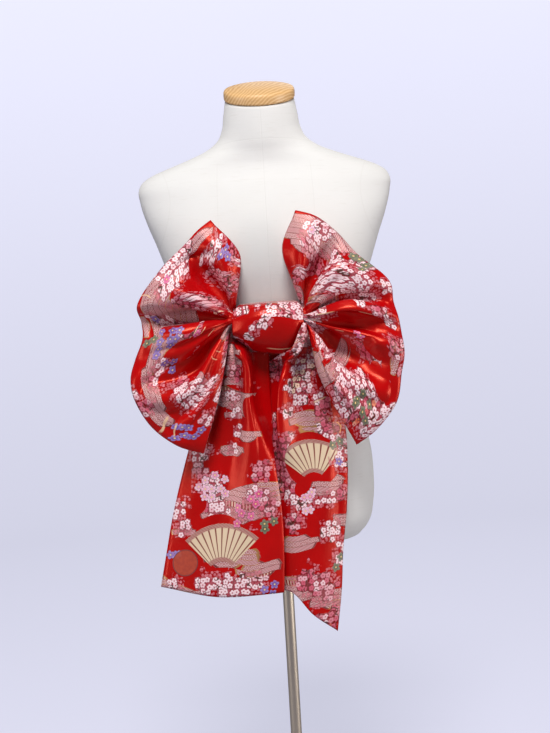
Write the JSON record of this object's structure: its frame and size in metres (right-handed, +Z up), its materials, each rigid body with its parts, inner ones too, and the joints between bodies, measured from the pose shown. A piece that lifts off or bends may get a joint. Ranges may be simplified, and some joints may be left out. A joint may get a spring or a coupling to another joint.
{
  "type": "obi sash on dress form",
  "caption": "Red brocade obi sash tied in a large bow with gathered loops and hanging tails, on an off-white limbless dress form with a wooden neck cap, metal pole and round base.",
  "frame": {"origin": "middle of the underside of the base", "axes": "+Z up, the front of the dress form with the bow faces -Y, +X to the right in a front view"},
  "size_m": [0.4004, 0.3227, 1.1358],
  "materials": {
    "linen_form": "matt linen cover",
    "neck_wood": "satin",
    "pole_metal": "dull",
    "base_metal": "dull",
    "sash_brocade": "woven satin brocade",
    "knot_brocade": "woven satin brocade",
    "left_loop_brocade": "woven satin brocade",
    "right_loop_brocade": "woven satin brocade",
    "left_tail_brocade": "woven satin brocade",
    "right_tail_brocade": "woven satin brocade"
  },
  "bodies": {
    "root": {"torso": "linen_form", "neck_cap": "neck_wood", "pole": "pole_metal", "base": "base_metal", "waist_sash": "sash_brocade", "knot_band": "knot_brocade", "wing_left": "left_loop_brocade", "wing_right": "right_loop_brocade", "tail_left": "left_tail_brocade", "tail_right": "right_tail_brocade"}
  },
  "joints": []
}
